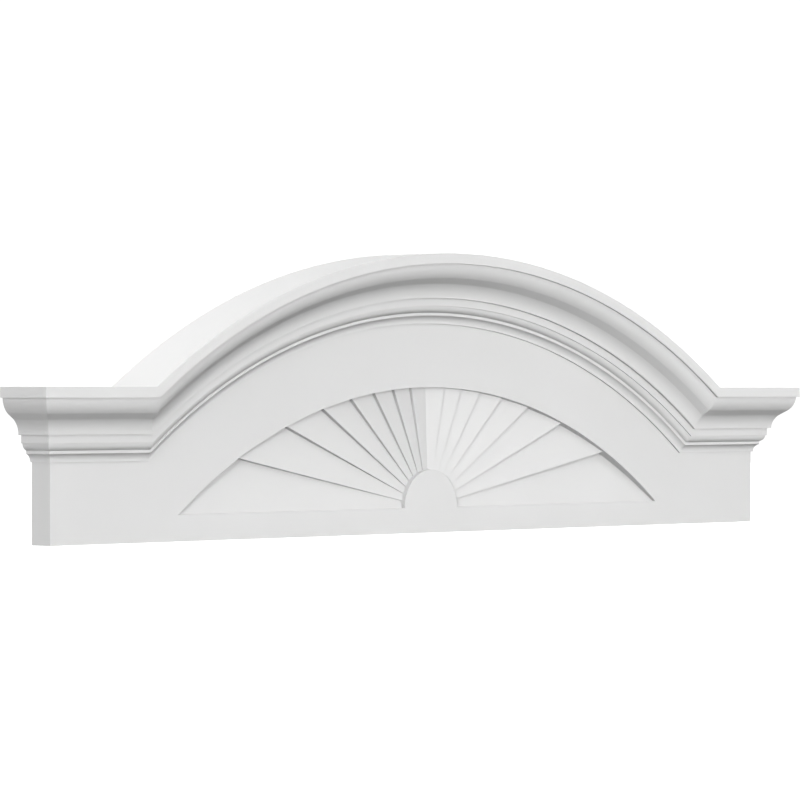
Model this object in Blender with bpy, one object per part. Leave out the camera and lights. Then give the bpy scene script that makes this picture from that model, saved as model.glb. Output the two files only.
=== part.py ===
"""Segmental pediment, moulded in one piece.

A plain board carries a crown moulding that runs along two level flanks, rises over a
concentric arch between them, and returns square to the wall at both ends. Under the arch
a segmental opening is sunk into the board, and a sunburst of tilted rays fans out in it
from a half-round hub that stays flush with the board.

The wall is the plane y = 0 and the face looks along -Y. The origin is on the back face,
on the centre line and half way up.
"""

import math

import bmesh
import bpy

INCH = 0.0254

# Body. Heights are measured from the underside.
BODY_WIDTH = 60.0 * INCH
BODY_THICKNESS = 1.5 * INCH
OVERALL_HEIGHT = 16.5 * INCH
FLANK_HEIGHT = 8.625 * INCH
FLANK_LENGTH = 5.84 * INCH

# Crown moulding, from its top edge down. Heights run down the face, and depths and steps
# run back towards the board.
FASCIA_HEIGHT = 0.6 * INCH
FASCIA_STEP = 0.17 * INCH
OGEE_HEIGHT = 2.01 * INCH
OGEE_DEPTH = 1.135 * INCH
OGEE_STEP = 0.19 * INCH
BAND_HEIGHT = 0.46 * INCH
BAND_STEP = 0.085 * INCH
OVOLO_HEIGHT = 0.39 * INCH
OVOLO_DEPTH = 0.275 * INCH
FILLET_HEIGHT = 0.17 * INCH
COVE_HEIGHT = 0.42 * INCH
COVE_DEPTH = 0.28 * INCH
FOOT_HEIGHT = 0.065 * INCH
FOOT_STEP = 0.115 * INCH

# Sweep of the arc that shapes each curved member of the crown.
OGEE_SWEEP = math.radians(60.0)
OVOLO_SWEEP = math.radians(72.0)
COVE_SWEEP = math.radians(66.0)

# Sunburst opening, concentric with the arch.
ARCH_BAND = 7.875 * INCH
SILL_HEIGHT = 1.5 * INCH
HUB_RADIUS = 2.25 * INCH
RAYS_PER_SIDE = 8
RAY_CREST_DEPTH = 0.25 * INCH
RAY_TILT = math.radians(9.0)

# Fineness of the round stretches.
ARCH_SEGMENTS = 48
HUB_SEGMENTS = 24
MOULDING_SEGMENTS = 6

# How far the rays' blocks run on into the solid around them, so that the joins are clean.
RAY_EMBED = 0.5 * INCH
RAY_LAP = math.radians(1.5)
POCKET_CLEARANCE = 0.1 * INCH

WHITE = (0.8, 0.8, 0.79, 1.0)
SATIN_ROUGHNESS = 0.45
SHARP_ANGLE = math.radians(20.0)

# Worked out from the sizes above.
HALF_WIDTH = BODY_WIDTH / 2
UNDERSIDE = -OVERALL_HEIGHT / 2
FLANK_TOP = UNDERSIDE + FLANK_HEIGHT
SILL = UNDERSIDE + SILL_HEIGHT
BOARD_FACE = -BODY_THICKNESS
HALF_CHORD = HALF_WIDTH - FLANK_LENGTH
ARCH_RISE = OVERALL_HEIGHT - FLANK_HEIGHT
ARCH_RADIUS = (HALF_CHORD**2 + ARCH_RISE**2) / (2 * ARCH_RISE)
ARCH_CENTRE = UNDERSIDE + OVERALL_HEIGHT - ARCH_RADIUS
OPENING_RADIUS = ARCH_RADIUS - ARCH_BAND
RAY_ANGLE = math.pi / 2 / RAYS_PER_SIDE


def clear_scene():
    for item in list(bpy.data.objects):
        bpy.data.objects.remove(item, do_unlink=True)


def new_collection(name):
    collection = bpy.data.collections.new(name)
    bpy.context.scene.collection.children.link(collection)
    return collection


def new_object(name, bm, collection):
    bmesh.ops.recalc_face_normals(bm, faces=bm.faces)
    mesh = bpy.data.meshes.new(name)
    bm.to_mesh(mesh)
    bm.free()
    made = bpy.data.objects.new(name, mesh)
    collection.objects.link(made)
    return made


def as_guide(guide):
    guide.hide_render = True
    guide.display_type = "WIRE"


def satin_white():
    material = bpy.data.materials.new("satin white")
    material.use_nodes = True
    shader = material.node_tree.nodes["Principled BSDF"]
    shader.inputs["Base Color"].default_value = WHITE
    shader.inputs["Roughness"].default_value = SATIN_ROUGHNESS
    shader.inputs["Metallic"].default_value = 0.0
    return material


def curved_member(height, depth, sweep, upright_first):
    """Points (back, down) of an arc that is upright at one end, its first point left out."""
    points = []
    for i in range(1, MOULDING_SEGMENTS + 1):
        angle = sweep * i / MOULDING_SEGMENTS
        if upright_first:
            back = (1 - math.cos(angle)) / (1 - math.cos(sweep))
            down = math.sin(angle) / math.sin(sweep)
        else:
            back = 1 - (1 - math.cos(sweep - angle)) / (1 - math.cos(sweep))
            down = 1 - math.sin(sweep - angle) / math.sin(sweep)
        points.append((back * depth, down * height))
    return points


def crown_profile():
    """Points (projection from the board, drop below the top edge), from the top edge down."""
    ogee_half = (OGEE_HEIGHT / 2, OGEE_DEPTH / 2, OGEE_SWEEP)
    members = [
        [(0.0, FASCIA_HEIGHT)],
        [(FASCIA_STEP, 0.0)],
        curved_member(*ogee_half, upright_first=True),
        curved_member(*ogee_half, upright_first=False),
        [(OGEE_STEP, 0.0)],
        [(0.0, BAND_HEIGHT)],
        [(BAND_STEP, 0.0)],
        curved_member(OVOLO_HEIGHT, OVOLO_DEPTH, OVOLO_SWEEP, upright_first=True),
        [(0.0, FILLET_HEIGHT)],
        curved_member(COVE_HEIGHT, COVE_DEPTH, COVE_SWEEP, upright_first=False),
        [(0.0, FOOT_HEIGHT)],
        [(FOOT_STEP, 0.0)],
    ]
    projection = sum(member[-1][0] for member in members)
    drop = 0.0
    profile = [(projection, drop)]
    for member in members:
        profile += [(projection - back, drop + down) for back, down in member]
        projection, drop = profile[-1]
    return profile


def arc_points(radius, level, segments):
    """Points (x, z) of an arc about the arch's centre, between its two crossings of a level."""
    spread = math.acos((level - ARCH_CENTRE) / radius)
    points = []
    for i in range(segments + 1):
        angle = spread * (2 * i / segments - 1)
        points.append((radius * math.sin(angle), ARCH_CENTRE + radius * math.cos(angle)))
    return points


def crown_row(projection, drop):
    """One line of the crown from wall to wall: return, flank, arch, flank, return."""
    side = HALF_WIDTH + projection
    face = BOARD_FACE - projection
    level = FLANK_TOP - drop
    arch = [(x, face, z) for x, z in arc_points(ARCH_RADIUS - drop, level, ARCH_SEGMENTS)]
    left = [(-side, 0.0, level), (-side, face, level)]
    right = [(side, face, level), (side, 0.0, level)]
    return left + arch + right


def strip(bm, first, second):
    for i in range(len(first) - 1):
        bm.faces.new((first[i], first[i + 1], second[i + 1], second[i]))


def moulded_body(collection):
    """Board and crown as one closed loft, still without its sunburst."""
    bm = bmesh.new()
    rows = [[bm.verts.new(point) for point in crown_row(*place)] for place in crown_profile()]
    for upper, lower in zip(rows, rows[1:]):
        strip(bm, upper, lower)

    top = rows[0]
    rear_arch = [bm.verts.new((vert.co.x, 0.0, vert.co.z)) for vert in top[2:-2]]
    top_rear = [top[0]] + rear_arch + [top[-1]]
    strip(bm, top_rear, top[1:-1])

    corners = [
        (-HALF_WIDTH, 0.0, UNDERSIDE),
        (-HALF_WIDTH, BOARD_FACE, UNDERSIDE),
        (HALF_WIDTH, BOARD_FACE, UNDERSIDE),
        (HALF_WIDTH, 0.0, UNDERSIDE),
    ]
    base = [bm.verts.new(corner) for corner in corners]
    foot = rows[-1]
    bm.faces.new(base)
    bm.faces.new((foot[0], foot[1], base[1], base[0]))
    bm.faces.new((foot[-2], foot[-1], base[3], base[2]))
    bm.faces.new(foot[1:-1] + [base[2], base[1]])
    right_edge = [row[-1] for row in rows[1:]]
    left_edge = [row[0] for row in reversed(rows[1:])]
    bm.faces.new(top_rear + right_edge + [base[3], base[0]] + left_edge)
    return new_object("pediment", bm, collection)


def ray_depth(radius, beyond_crest):
    """Depth below the board's face at a radius, an angle away from the ray's crest."""
    return RAY_CREST_DEPTH + math.tan(RAY_TILT) * radius * math.sin(beyond_crest)


def radius_to_arch(angle):
    """Distance from the hub's centre to the opening's arch, at an angle above the sill."""
    lift = SILL - ARCH_CENTRE
    across = lift * math.cos(angle)
    return math.sqrt(OPENING_RADIUS**2 - across**2) - lift * math.sin(angle)


def pocket_depth():
    """Deeper than every ray: each is deepest at the arch, on its side towards the middle."""
    lows = [RAY_ANGLE * (i + 1) for i in range(RAYS_PER_SIDE)]
    return max(ray_depth(radius_to_arch(low), RAY_ANGLE) for low in lows) + POCKET_CLEARANCE


def pocket_cutter(collection):
    """Prism of the opening, open over the hub."""
    outline = arc_points(OPENING_RADIUS, SILL, ARCH_SEGMENTS)
    for i in range(HUB_SEGMENTS + 1):
        angle = math.pi * i / HUB_SEGMENTS
        outline.append((HUB_RADIUS * math.cos(angle), SILL + HUB_RADIUS * math.sin(angle)))
    bm = bmesh.new()
    front = BOARD_FACE - POCKET_CLEARANCE
    face = bm.faces.new([bm.verts.new((x, front, z)) for x, z in outline])
    grown = bmesh.ops.extrude_face_region(bm, geom=[face])
    for vert in [item for item in grown["geom"] if isinstance(item, bmesh.types.BMVert)]:
        vert.co.y = BOARD_FACE + pocket_depth()
    cutter = new_object("opening cutter", bm, collection)
    as_guide(cutter)
    return cutter


def ray_block(side, index, collection):
    """Solid under one ray, counted from the sill. Its crest is its edge towards the sill."""
    crest = RAY_ANGLE * index
    start = crest if index else crest - RAY_LAP
    end = crest + RAY_ANGLE + RAY_LAP
    inner = HUB_RADIUS - RAY_EMBED
    places = [(inner, start), (radius_to_arch(start) + RAY_EMBED, start)]
    places += [(radius_to_arch(end) + RAY_EMBED, end), (inner, end)]
    bm = bmesh.new()
    verts = []
    for radius, angle in places:
        x = side * radius * math.cos(angle)
        y = BOARD_FACE + ray_depth(radius, angle - crest)
        verts.append(bm.verts.new((x, y, SILL + radius * math.sin(angle))))
    grown = bmesh.ops.extrude_face_region(bm, geom=[bm.faces.new(verts)])
    for vert in [item for item in grown["geom"] if isinstance(item, bmesh.types.BMVert)]:
        vert.co.y = BOARD_FACE + pocket_depth() + POCKET_CLEARANCE
    hand = "left" if side < 0 else "right"
    block = new_object(f"{hand} ray {index + 1}", bm, collection)
    as_guide(block)


def sink_sunburst(body, cutters, rays):
    sink = body.modifiers.new("sink opening", "BOOLEAN")
    sink.operation = "DIFFERENCE"
    sink.solver = "EXACT"
    sink.object = pocket_cutter(cutters)
    for side in (-1, 1):
        for index in range(RAYS_PER_SIDE):
            ray_block(side, index, rays)
    fan = body.modifiers.new("fan of rays", "BOOLEAN")
    fan.operation = "UNION"
    fan.solver = "EXACT"
    fan.operand_type = "COLLECTION"
    fan.collection = rays


def main():
    clear_scene()
    body = moulded_body(new_collection("segmental pediment"))
    sink_sunburst(body, new_collection("cutters"), new_collection("ray blocks"))
    body.data.materials.append(satin_white())
    body.data.shade_smooth()
    body.data.set_sharp_from_angle(angle=SHARP_ANGLE)


main()
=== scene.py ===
"""Looks of the segmental pediment: a finely moulded body in place of the faceted solid.

The moulded body repeats the solid's own sizes, in metres, and eases the arrises and inner
corners of its front a little, as a moulded and primed pediment has them. Its ogee alone
takes another curve, with a straight middle, that stays within 0.2 mm of the solid's.
"""

import math

import bmesh
import bpy
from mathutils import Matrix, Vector
from mathutils.geometry import tessellate_polygon


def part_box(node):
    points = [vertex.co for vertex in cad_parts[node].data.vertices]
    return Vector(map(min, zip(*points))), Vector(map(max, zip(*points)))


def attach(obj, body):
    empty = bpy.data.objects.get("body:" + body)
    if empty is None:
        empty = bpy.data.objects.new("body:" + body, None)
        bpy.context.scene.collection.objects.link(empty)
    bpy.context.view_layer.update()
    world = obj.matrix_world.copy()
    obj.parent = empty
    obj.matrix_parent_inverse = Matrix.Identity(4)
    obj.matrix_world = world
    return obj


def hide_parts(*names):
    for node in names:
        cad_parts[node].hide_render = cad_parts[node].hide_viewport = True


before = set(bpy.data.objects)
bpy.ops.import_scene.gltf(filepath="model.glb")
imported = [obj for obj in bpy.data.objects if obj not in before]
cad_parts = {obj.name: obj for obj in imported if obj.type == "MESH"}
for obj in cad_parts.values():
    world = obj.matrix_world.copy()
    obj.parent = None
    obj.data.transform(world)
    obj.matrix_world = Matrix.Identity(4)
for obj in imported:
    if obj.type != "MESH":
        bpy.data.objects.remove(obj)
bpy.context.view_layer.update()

INCH = 0.0254

# Crown moulding, from its top edge down. Heights run down the face, and depths and steps
# run back towards the board.
FASCIA_HEIGHT = 0.6 * INCH
FASCIA_STEP = 0.17 * INCH
OGEE_HEIGHT = 2.01 * INCH
OGEE_DEPTH = 1.135 * INCH
OGEE_STEP = 0.19 * INCH
BAND_HEIGHT = 0.46 * INCH
BAND_STEP = 0.085 * INCH
OVOLO_HEIGHT = 0.39 * INCH
OVOLO_DEPTH = 0.275 * INCH
FILLET_HEIGHT = 0.17 * INCH
COVE_HEIGHT = 0.42 * INCH
COVE_DEPTH = 0.28 * INCH
FOOT_HEIGHT = 0.065 * INCH
FOOT_STEP = 0.115 * INCH
OGEE_SWEEP = math.radians(45.0)
OGEE_STRAIGHT = 0.33 * INCH
OVOLO_SWEEP = math.radians(72.0)
COVE_SWEEP = math.radians(66.0)

# Flanks, opening and sunburst.
FLANK_HEIGHT = 8.625 * INCH
FLANK_LENGTH = 5.84 * INCH
ARCH_BAND = 7.875 * INCH
SILL_HEIGHT = 1.5 * INCH
HUB_RADIUS = 2.25 * INCH
RAYS_PER_SIDE = 8
RAY_CREST_DEPTH = 0.25 * INCH
RAY_TILT = math.radians(9.0)
RISER_DRAFT = 0.0001

# Fineness of the moulded surface, and the radius of its eased arrises and inner corners.
ARCH_SEGMENTS = 144
MOULDING_SEGMENTS = 14
COLUMNS_PER_RAY = 6
EASE = 0.00015
EASE_SEGMENTS = 3
EASE_FROM_TURN = math.radians(30.0)
SHARP_ANGLE = math.radians(6.5)

# The body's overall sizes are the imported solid's.
low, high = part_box("pediment")
CROWN_STEPS = FASCIA_STEP + OGEE_STEP + BAND_STEP + FOOT_STEP
CROWN_PROJECTION = CROWN_STEPS + OGEE_DEPTH + OVOLO_DEPTH + COVE_DEPTH
HALF_WIDTH = high.x - CROWN_PROJECTION
BOARD_FACE = low.y + CROWN_PROJECTION
WALL = high.y
UNDERSIDE = low.z
FLANK_TOP = UNDERSIDE + FLANK_HEIGHT
SILL = UNDERSIDE + SILL_HEIGHT
HALF_CHORD = HALF_WIDTH - FLANK_LENGTH
ARCH_RISE = high.z - FLANK_TOP
ARCH_RADIUS = (HALF_CHORD**2 + ARCH_RISE**2) / (2 * ARCH_RISE)
ARCH_CENTRE = high.z - ARCH_RADIUS
OPENING_RADIUS = ARCH_RADIUS - ARCH_BAND
RAY_ANGLE = math.pi / 2 / RAYS_PER_SIDE

# Camera, found from the corners and arcs of the body in the photograph.
CAMERA_PLACE = (-4.54526, -4.33433, 0.00192)
CAMERA_HEADING = math.radians(-46.185)
CAMERA_LENS = 186.9013
CAMERA_SHIFT_Y = -0.009585
SENSOR_WIDTH = 36.0

CAMERA_REACH = 500.0

# Pale floor and white surround.
FLOOR_DROP = 1.2
FLOOR_SIZE = 120.0
FLOOR_GREY = (0.9, 0.9, 0.9, 1.0)
FLOOR_ROUGHNESS = 0.9
FLOOR_GLOW = 0.75
WHITE = (1.0, 1.0, 1.0, 1.0)
SURROUND_STRENGTH = 1.1

# Satin white primer. Scales are in features a metre, reliefs in metres. A detail is how many
# finer layers its noise has.
PRIMER_LIGHT = (0.81, 0.81, 0.808, 1.0)
PRIMER_SHADE = (0.79, 0.79, 0.787, 1.0)
PRIMER_IOR = 1.45
SMOOTHEST = 0.52
ROUGHEST = 0.68
SHADE_UP_TO = 0.3
LIGHT_FROM = 0.7
CLOUD_SCALE = 5.0
CLOUD_DETAIL = 3.0
SHEEN_SCALE = 60.0
SHEEN_DETAIL = 4.0
WAVE_SCALE = 18.0
WAVE_DETAIL = 2.0
WAVE_RELIEF = 0.00008
GRAIN_SCALE = 700.0
GRAIN_DETAIL = 5.0
GRAIN_RELIEF = 0.00003

# Studio light: (name, azimuth, elevation, width in degrees, strength, casts shadows).
# Strengths are set in quarter steps.
SUNS = [
    ("front", 15.0, 30.0, 2.0, 1.5, False),
    ("under", 0.0, -90.0, 150.0, 0.75, False),
    ("front_wide", 0.0, 0.0, 120.0, 1.0, True),
    ("key", 60.0, 5.0, 10.0, 1.0, True),
    ("left", 60.0, 20.0, 40.0, 0.5, True),
    ("left_rear", 110.0, 0.0, 40.0, 0.5, True),
    ("right", -45.0, 10.0, 40.0, 0.25, True),
    ("overhead", 0.0, 90.0, 40.0, 1.75, True),
    ("right_rear", -110.0, 0.0, 40.0, 1.75, True),
    ("back", 180.0, 0.0, 20.0, 2.25, True),
]


def quarter(parts):
    """(sine, cosine) pairs of a quarter turn, from 0 to 90 degrees."""
    turns = [math.pi / 2 * i / parts for i in range(parts + 1)]
    return [(math.sin(turn), math.cos(turn)) for turn in turns]


def vert_at(bm, known, point):
    """The vertex at a point: the one already there, or a new one."""
    key = tuple(round(value, 7) for value in point)
    if key not in known:
        known[key] = bm.verts.new(point)
    return known[key]


def vert_row(bm, known, points):
    return [vert_at(bm, known, point) for point in points]


def add_face(bm, corners):
    """A face on those corners, with repeated ones left out, or none where under three stay."""
    kept = [corner for i, corner in enumerate(corners) if corner is not corners[i - 1]]
    if len(kept) > 2:
        bm.faces.new(kept)


def strip(bm, first, second):
    for i in range(len(first) - 1):
        add_face(bm, (first[i], first[i + 1], second[i + 1], second[i]))


def curved_member(height, depth, sweep, upright_first):
    """Points (back, down) of an arc that is upright at one end, its first point left out."""
    points = []
    for i in range(1, MOULDING_SEGMENTS + 1):
        angle = sweep * i / MOULDING_SEGMENTS
        if upright_first:
            back = (1 - math.cos(angle)) / (1 - math.cos(sweep))
            down = math.sin(angle) / math.sin(sweep)
        else:
            back = 1 - (1 - math.cos(sweep - angle)) / (1 - math.cos(sweep))
            down = 1 - math.sin(sweep - angle) / math.sin(sweep)
        points.append((back * depth, down * height))
    return points


def eased(points):
    """The same line with a small curve in place of each of its corners; its ends stay."""
    made = [points[0]]
    for before, corner, after in zip(points, points[1:], points[2:]):
        here = Vector(corner)
        arriving = (here - Vector(before)).normalized()
        leaving = (Vector(after) - here).normalized()
        turn = arriving.angle(leaving)
        if turn < EASE_FROM_TURN:
            made.append(corner)
            continue
        reach = EASE * math.tan(turn / 2)
        for i in range(EASE_SEGMENTS + 1):
            share = i / EASE_SEGMENTS
            first = here - arriving * reach * (1 - share)
            second = here + leaving * reach * share
            made.append(tuple(first.lerp(second, share)))
    made.append(points[-1])
    return made


def crown_profile():
    """Points (projection from the board, drop below the top edge), from the top edge down."""
    curve_height = (OGEE_HEIGHT - OGEE_STRAIGHT) / 2
    curve_depth = curve_height * math.tan(OGEE_SWEEP / 2)
    ogee_curve = (curve_height, curve_depth, OGEE_SWEEP)
    members = [
        [(0.0, FASCIA_HEIGHT)],
        [(FASCIA_STEP, 0.0)],
        curved_member(*ogee_curve, upright_first=True),
        [(OGEE_DEPTH - 2 * curve_depth, OGEE_STRAIGHT)],
        curved_member(*ogee_curve, upright_first=False),
        [(OGEE_STEP, 0.0)],
        [(0.0, BAND_HEIGHT)],
        [(BAND_STEP, 0.0)],
        curved_member(OVOLO_HEIGHT, OVOLO_DEPTH, OVOLO_SWEEP, upright_first=True),
        [(0.0, FILLET_HEIGHT)],
        curved_member(COVE_HEIGHT, COVE_DEPTH, COVE_SWEEP, upright_first=False),
        [(0.0, FOOT_HEIGHT)],
        [(FOOT_STEP, 0.0)],
    ]
    profile = [(CROWN_PROJECTION - 2 * EASE, 0.0), (CROWN_PROJECTION, 0.0)]
    projection, drop = profile[-1]
    for member in members:
        profile += [(projection - back, drop + down) for back, down in member]
        projection, drop = profile[-1]
    profile.append((0.0, drop + 2 * EASE))
    return eased(profile)


def plan_corner(projection, side):
    """Points (x, y) round one eased front corner, from the end to the front."""
    points = []
    for sine, cosine in quarter(EASE_SEGMENTS):
        x = HALF_WIDTH + projection - EASE * (1 - cosine)
        points.append((side * x, BOARD_FACE - projection + EASE * (1 - sine)))
    return points


def plan_row(projection, level, between=()):
    """A line round the body from wall to wall at one level, with points between its corners."""
    left = [(x, y, level) for x, y in plan_corner(projection, -1)]
    right = [(x, y, level) for x, y in reversed(plan_corner(projection, 1))]
    start = (-HALF_WIDTH - projection, WALL, level)
    end = (HALF_WIDTH + projection, WALL, level)
    return [start] + left + list(between) + right + [end]


def crown_row(projection, drop):
    """One line of the crown from wall to wall: return, flank, arch, flank, return."""
    radius = ARCH_RADIUS - drop
    level = FLANK_TOP - drop
    spread = math.acos((level - ARCH_CENTRE) / radius)
    arch = []
    for i in range(ARCH_SEGMENTS + 1):
        angle = spread * (2 * i / ARCH_SEGMENTS - 1)
        z = ARCH_CENTRE + radius * math.cos(angle)
        arch.append((radius * math.sin(angle), BOARD_FACE - projection, z))
    return plan_row(projection, level, arch)


def across_line(angle, offset):
    """A line out from beside the hub's centre: (its start, its direction), in (x, z)."""
    sine, cosine = math.sin(angle), math.cos(angle)
    return Vector((-sine, cosine)) * offset, Vector((cosine, sine))


def ray_lines():
    """Lines across one side of the fan, from the sill to the middle of the fan.

    Each is (angle, offset, angle of the ray's crest, deepest, sunk): it runs out from the hub
    at an angle above the sill, a little beside the centre, and follows the ray's slope, sunk
    or raised by a fixed measure, and nowhere deeper than its limit.
    """
    lines = []
    for sine, cosine in quarter(EASE_SEGMENTS):
        lines.append((0.0, EASE * (sine - 1), 0.0, EASE * (1 - cosine), 0.0))
    for sine, cosine in quarter(EASE_SEGMENTS):
        lines.append((0.0, EASE * (1 - cosine), 0.0, math.inf, EASE * (sine - 1)))
    for index in range(RAYS_PER_SIDE):
        crest = RAY_ANGLE * index
        for i in range(1, COLUMNS_PER_RAY):
            lines.append((crest + RAY_ANGLE * i / COLUMNS_PER_RAY, 0.0, crest, math.inf, 0.0))
        end = crest + RAY_ANGLE
        if index == RAYS_PER_SIDE - 1:
            lines.append((end, 0.0, crest, math.inf, 0.0))
            break
        for sine, cosine in quarter(EASE_SEGMENTS):
            offset = EASE * (sine - 1) - RISER_DRAFT
            lines.append((end, offset, crest, math.inf, EASE * (cosine - 1)))
        for sine, cosine in quarter(EASE_SEGMENTS):
            lines.append((end, EASE * (1 - cosine), end, math.inf, EASE * (1 - sine)))
    return lines


def ray_stops():
    """Stops along every line, from the hub's face to the board's over the arch.

    Each is (circle's radius, height of its centre, deepest, sunk), measured as for the lines.
    """
    stops = []
    for sine, cosine in quarter(EASE_SEGMENTS):
        stops.append((HUB_RADIUS + EASE * (sine - 1), SILL, EASE * (1 - cosine), 0.0))
    for sine, cosine in quarter(EASE_SEGMENTS):
        stops.append((HUB_RADIUS + EASE * (1 - cosine), SILL, math.inf, EASE * (sine - 1)))
    for sine, cosine in quarter(EASE_SEGMENTS):
        radius = OPENING_RADIUS + EASE * (sine - 1)
        stops.append((radius, ARCH_CENTRE, math.inf, EASE * (cosine - 1)))
    for sine, cosine in quarter(EASE_SEGMENTS):
        radius = OPENING_RADIUS + EASE * (1 - cosine)
        stops.append((radius, ARCH_CENTRE, EASE * (1 - sine), 0.0))
    return stops


def fan_point(line, stop):
    """Point (x, y, z) of the right half of the fan where a line reaches a stop's circle."""
    angle, offset, crest, line_deepest, line_sunk = line
    radius, centre, stop_deepest, stop_sunk = stop
    start, outward = across_line(angle, offset)
    from_centre = start + Vector((0.0, SILL - centre))
    along = from_centre.dot(outward)
    reach = math.sqrt(along**2 + radius**2 - from_centre.length_squared) - along
    place = start + outward * reach
    beyond_crest = place.dot(Vector((-math.sin(crest), math.cos(crest))))
    slope = RAY_CREST_DEPTH + math.tan(RAY_TILT) * beyond_crest
    depth = min(line_deepest, stop_deepest, slope + line_sunk + stop_sunk)
    return (place.x, BOARD_FACE + depth, SILL + place.y)


def fan_of_rays(bm, known):
    """The sunk sunburst with its walls and eased rim, and the vertices round its rim."""
    stops = ray_stops()
    half = [[fan_point(line, stop) for stop in stops] for line in ray_lines()]
    mirrored = [[(-x, y, z) for x, y, z in points] for points in half[-2::-1]]
    lines = [vert_row(bm, known, points) for points in half + mirrored]
    for first, second in zip(lines, lines[1:]):
        strip(bm, first, second)
    arch = [line[-1] for line in lines]
    hub = [line[0] for line in lines]
    return lines[0] + arch + lines[-1][::-1] + hub[::-1]


def without_repeats(verts):
    return [vert for i, vert in enumerate(verts) if vert is not verts[i - 1]]


def fill_with_hole(bm, outline, hole):
    """Flat facing across an outline, around a hole in it."""
    loops = [outline, without_repeats(hole)]
    flat = [[Vector((vert.co.x, vert.co.z, 0.0)) for vert in loop] for loop in loops]
    verts = loops[0] + loops[1]
    for triangle in tessellate_polygon(flat):
        bm.faces.new([verts[i] for i in triangle])


def body_mesh():
    bm = bmesh.new()
    known = {}
    rows = [vert_row(bm, known, crown_row(*place)) for place in crown_profile()]
    for upper, lower in zip(rows, rows[1:]):
        strip(bm, upper, lower)

    # Top of the crown, back to the wall.
    top = rows[0]
    first = EASE_SEGMENTS + 2
    arch = top[first:-first]
    rear = vert_row(bm, known, [(vert.co.x, WALL, vert.co.z) for vert in arch])
    strip(bm, rear, arch)
    add_face(bm, [rear[0]] + top[: first + 1])
    add_face(bm, top[-first - 1 :] + [rear[-1]])

    # Ends and underside of the board.
    foot = rows[-1]
    base_rows = []
    for sine, cosine in quarter(EASE_SEGMENTS):
        line = plan_row(EASE * (cosine - 1), UNDERSIDE + EASE * (1 - sine))
        base_rows.append(vert_row(bm, known, line))
    for upper, lower in zip(base_rows, base_rows[1:]):
        strip(bm, upper, lower)
    base = base_rows[0]
    strip(bm, foot[:first], base[:first])
    strip(bm, foot[-first:], base[-first:])
    bm.faces.new(base_rows[-1])

    # Face of the board, round the sunburst.
    rim = fan_of_rays(bm, known)
    outline = foot[first - 1 : len(foot) - first + 1] + [base[first], base[first - 1]]
    fill_with_hole(bm, outline, rim)

    # Back, flat on the wall.
    right_edge = [row[-1] for row in rows + base_rows]
    left_edge = [row[0] for row in reversed(rows + base_rows)]
    bm.faces.new(rear + right_edge + left_edge)

    bmesh.ops.recalc_face_normals(bm, faces=bm.faces)
    mesh = bpy.data.meshes.new("pediment_moulding")
    bm.to_mesh(mesh)
    bm.free()
    return mesh


def primed_white():
    """Satin white primer: even from a distance, with a faint sprayed grain close to."""
    material = bpy.data.materials.new("satin white primer")
    material.use_nodes = True
    tree = material.node_tree
    shader = tree.nodes["Principled BSDF"]
    shader.inputs["IOR"].default_value = PRIMER_IOR
    place = tree.nodes.new("ShaderNodeTexCoord").outputs["Object"]

    def noise(scale, detail):
        node = tree.nodes.new("ShaderNodeTexNoise")
        node.inputs["Scale"].default_value = scale
        node.inputs["Detail"].default_value = detail
        tree.links.new(place, node.inputs["Vector"])
        return node.outputs["Fac"]

    def relief(height, distance, normal=None):
        node = tree.nodes.new("ShaderNodeBump")
        node.inputs["Distance"].default_value = distance
        tree.links.new(height, node.inputs["Height"])
        if normal:
            tree.links.new(normal, node.inputs["Normal"])
        return node.outputs["Normal"]

    tint = tree.nodes.new("ShaderNodeValToRGB")
    tint.color_ramp.elements[0].position = SHADE_UP_TO
    tint.color_ramp.elements[0].color = PRIMER_SHADE
    tint.color_ramp.elements[1].position = LIGHT_FROM
    tint.color_ramp.elements[1].color = PRIMER_LIGHT
    tree.links.new(noise(CLOUD_SCALE, CLOUD_DETAIL), tint.inputs["Fac"])
    tree.links.new(tint.outputs["Color"], shader.inputs["Base Color"])

    sheen = tree.nodes.new("ShaderNodeMapRange")
    sheen.inputs["To Min"].default_value = SMOOTHEST
    sheen.inputs["To Max"].default_value = ROUGHEST
    tree.links.new(noise(SHEEN_SCALE, SHEEN_DETAIL), sheen.inputs["Value"])
    tree.links.new(sheen.outputs["Result"], shader.inputs["Roughness"])

    waves = relief(noise(WAVE_SCALE, WAVE_DETAIL), WAVE_RELIEF)
    grain = relief(noise(GRAIN_SCALE, GRAIN_DETAIL), GRAIN_RELIEF, waves)
    tree.links.new(grain, shader.inputs["Normal"])
    return material


def make_body():
    body = bpy.data.objects.new("pediment_moulding", body_mesh())
    bpy.context.scene.collection.objects.link(body)
    body.data.shade_smooth()
    body.data.set_sharp_from_angle(angle=SHARP_ANGLE)
    body.data.materials.append(primed_white())
    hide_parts("pediment")
    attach(body, "root")
    # The photograph shows no light thrown from one part of the body onto another.
    body.visible_diffuse = False


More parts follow.
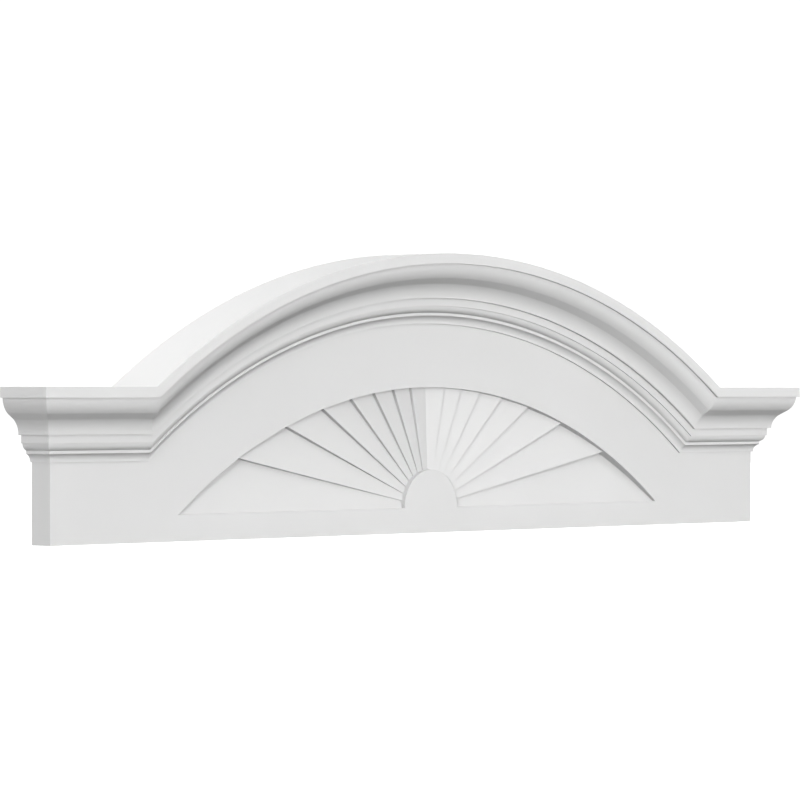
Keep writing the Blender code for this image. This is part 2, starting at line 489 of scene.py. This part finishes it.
def make_floor():
    bm = bmesh.new()
    bmesh.ops.create_grid(bm, x_segments=1, y_segments=1, size=FLOOR_SIZE / 2)
    mesh = bpy.data.meshes.new("floor")
    bm.to_mesh(mesh)
    bm.free()
    floor = bpy.data.objects.new("floor", mesh)
    bpy.context.scene.collection.objects.link(floor)
    floor.location.z = UNDERSIDE - FLOOR_DROP
    # The floor is for the camera alone: its bounce would wash out the shade under the crown.
    floor.visible_diffuse = False
    floor.visible_glossy = False
    material = bpy.data.materials.new("pale floor")
    material.use_nodes = True
    shader = material.node_tree.nodes["Principled BSDF"]
    shader.inputs["Base Color"].default_value = FLOOR_GREY
    shader.inputs["Roughness"].default_value = FLOOR_ROUGHNESS
    shader.inputs["Emission Color"].default_value = WHITE
    shader.inputs["Emission Strength"].default_value = FLOOR_GLOW
    floor.data.materials.append(material)


def make_camera():
    data = bpy.data.cameras.new("camera")
    data.sensor_width = SENSOR_WIDTH
    data.lens = CAMERA_LENS
    data.shift_y = CAMERA_SHIFT_Y
    data.clip_end = CAMERA_REACH
    camera = bpy.data.objects.new("camera", data)
    bpy.context.scene.collection.objects.link(camera)
    camera.location = CAMERA_PLACE
    camera.rotation_euler = (math.pi / 2, 0.0, CAMERA_HEADING)
    bpy.context.scene.camera = camera


def add_sun(name, azimuth, elevation, width, strength, casts_shadows):
    """Parallel or spread light from far off. Azimuths run to the left of straight in front."""
    turn = math.radians(azimuth)
    rise = math.radians(elevation)
    across = math.cos(rise)
    source = Vector((-math.sin(turn) * across, -math.cos(turn) * across, math.sin(rise)))
    data = bpy.data.lights.new(name, "SUN")
    data.energy = strength
    data.angle = math.radians(width)
    data.use_shadow = casts_shadows
    # The body is hidden from diffuse rays, so light met by them would leak through it.
    data.cycles.use_multiple_importance_sampling = False
    light = bpy.data.objects.new(name, data)
    bpy.context.scene.collection.objects.link(light)
    light.rotation_euler = source.to_track_quat("Z", "Y").to_euler()


def make_world():
    """A white surround for the camera. The light itself comes from the suns."""
    scene = bpy.context.scene
    world = bpy.data.worlds.new("studio")
    scene.world = world
    world.use_nodes = True
    background = world.node_tree.nodes["Background"]
    background.inputs["Color"].default_value = WHITE
    background.inputs["Strength"].default_value = SURROUND_STRENGTH
    world.cycles_visibility.diffuse = False
    world.cycles_visibility.glossy = False
    scene.view_settings.view_transform = "Standard"


make_body()
make_floor()
make_camera()
make_world()
for light in SUNS:
    add_sun(*light)
